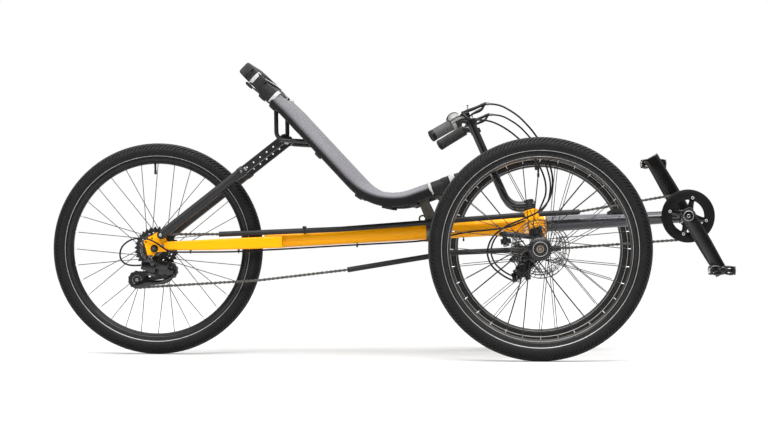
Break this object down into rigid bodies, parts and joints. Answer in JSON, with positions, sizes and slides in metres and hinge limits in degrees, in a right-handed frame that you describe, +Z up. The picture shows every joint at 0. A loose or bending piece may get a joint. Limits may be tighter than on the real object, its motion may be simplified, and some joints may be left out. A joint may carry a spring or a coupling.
{
  "type": "recumbent trike",
  "caption": "Recumbent tadpole trike with two steered front wheels, a driven rear wheel, a mesh sling seat, side handlebars and cranks on a front boom.",
  "frame": {"origin": "middle of the whole box, on the ground the wheels stand on", "axes": "+X forward to the cranks, +Y to the rider's left, +Z up"},
  "size_m": [1.9269, 0.876, 0.8092],
  "materials": {
    "frame_paint": "gloss",
    "boom_grey": "gloss",
    "black_plastic": "satin",
    "black_metal": "satin",
    "steel": "satin",
    "spoke_steel": "satin",
    "chain_steel": "satin",
    "tyre": "matte",
    "seat_fabric": "woven mesh",
    "grip_rubber": "matte",
    "cable_housing": "satin"
  },
  "bodies": {
    "frame": {"main_tube": "frame_paint", "boom": "boom_grey", "boom_block": "black_plastic", "ring_eye": "black_metal", "cross_member": "frame_paint", "chainstays": "frame_paint", "dropouts": "frame_paint", "rear_axle": "steel", "seat_back_hoop": "black_metal", "seat_base_hoop": "black_metal", "seat_cross_tubes": "black_metal", "seat_sling": "seat_fabric", "seat_bracket": "black_metal", "stay_extensions": "black_metal", "seat_stays": "black_metal", "seat_post": "black_metal", "chain_upper": "chain_steel", "chain_lower": "chain_steel", "chain_wraps": "chain_steel", "chain_tube_upper": "black_plastic", "chain_tube_lower": "black_plastic", "derailleur_body": "black_metal", "derailleur_cage": "black_metal", "shift_cable_rear": "cable_housing"},
    "right_steering": {"right_knuckle": "black_metal", "right_handlebar": "black_metal", "right_grip": "grip_rubber", "twist_shifter": "grip_rubber", "right_brake_lever": "black_plastic", "right_caliper": "black_metal", "right_brake_cable": "cable_housing", "shift_cable_front": "cable_housing"},
    "left_steering": {"left_knuckle": "black_metal", "left_handlebar": "black_metal", "left_grip": "grip_rubber", "left_brake_lever": "black_plastic", "left_caliper": "black_metal", "left_brake_cable": "cable_housing"},
    "tie_rod": {"tie_rod": "black_metal"},
    "right_front_wheel": {"right_front_tyre": "tyre", "right_front_rim": "black_metal", "right_front_spokes": "spoke_steel", "right_front_hub": "black_metal", "right_disc": "steel"},
    "left_front_wheel": {"left_front_tyre": "tyre", "left_front_rim": "black_metal", "left_front_spokes": "spoke_steel", "left_front_hub": "black_metal", "left_disc": "steel"},
    "rear_wheel": {"rear_tyre": "tyre", "rear_rim": "black_metal", "rear_spokes": "spoke_steel", "rear_hub": "black_metal", "cassette": "steel"},
    "cranks": {"crank_arms": "black_metal", "chainring": "black_metal", "chain_guard": "black_metal"},
    "right_pedal": {"right_pedal": "black_plastic"},
    "left_pedal": {"left_pedal": "black_plastic"}
  },
  "joints": [
    {"name": "right_steer", "type": "hinge", "parent": "frame", "child": "right_steering", "pos_m": [0.3984, -0.32, 0.393], "axis": [-0.2355, 0.1939, 0.9523], "range_deg": [-28, 28]},
    {"name": "left_steer", "type": "hinge", "parent": "frame", "child": "left_steering", "pos_m": [0.3984, 0.32, 0.393], "axis": [-0.2355, -0.1939, 0.9523], "range_deg": [-28, 28]},
    {"name": "tie_rod_pivot", "type": "hinge", "parent": "right_steering", "child": "tie_rod", "pos_m": [0.3254, -0.316, 0.321], "axis": [-0.1851, 0.1937, 0.9634], "range_deg": [-30, 30]},
    {"name": "right_front_spin", "type": "hinge", "parent": "right_steering", "child": "right_front_wheel", "pos_m": [0.4214, -0.4, 0.3005], "axis": [0, 1, 0], "continuous": true},
    {"name": "left_front_spin", "type": "hinge", "parent": "left_steering", "child": "left_front_wheel", "pos_m": [0.4214, 0.4, 0.3005], "axis": [0, 1, 0], "continuous": true},
    {"name": "rear_spin", "type": "hinge", "parent": "frame", "child": "rear_wheel", "pos_m": [-0.6656, 0, 0.3005], "axis": [0, 1, 0], "continuous": true},
    {"name": "crank_spin", "type": "hinge", "parent": "frame", "child": "cranks", "pos_m": [0.8364, 0, 0.39207], "axis": [0, 1, 0], "continuous": true},
    {"name": "right_pedal_spin", "type": "hinge", "parent": "cranks", "child": "right_pedal", "pos_m": [0.9239, -0.088, 0.24052], "axis": [0, 1, 0], "continuous": true},
    {"name": "left_pedal_spin", "type": "hinge", "parent": "cranks", "child": "left_pedal", "pos_m": [0.7489, 0.088, 0.54363], "axis": [0, 1, 0], "continuous": true}
  ],
  "couplings": [
    {"joint": "left_steer", "follows": "right_steer", "ratio": 1},
    {"joint": "tie_rod_pivot", "follows": "right_steer", "ratio": -1.0453}
  ]
}
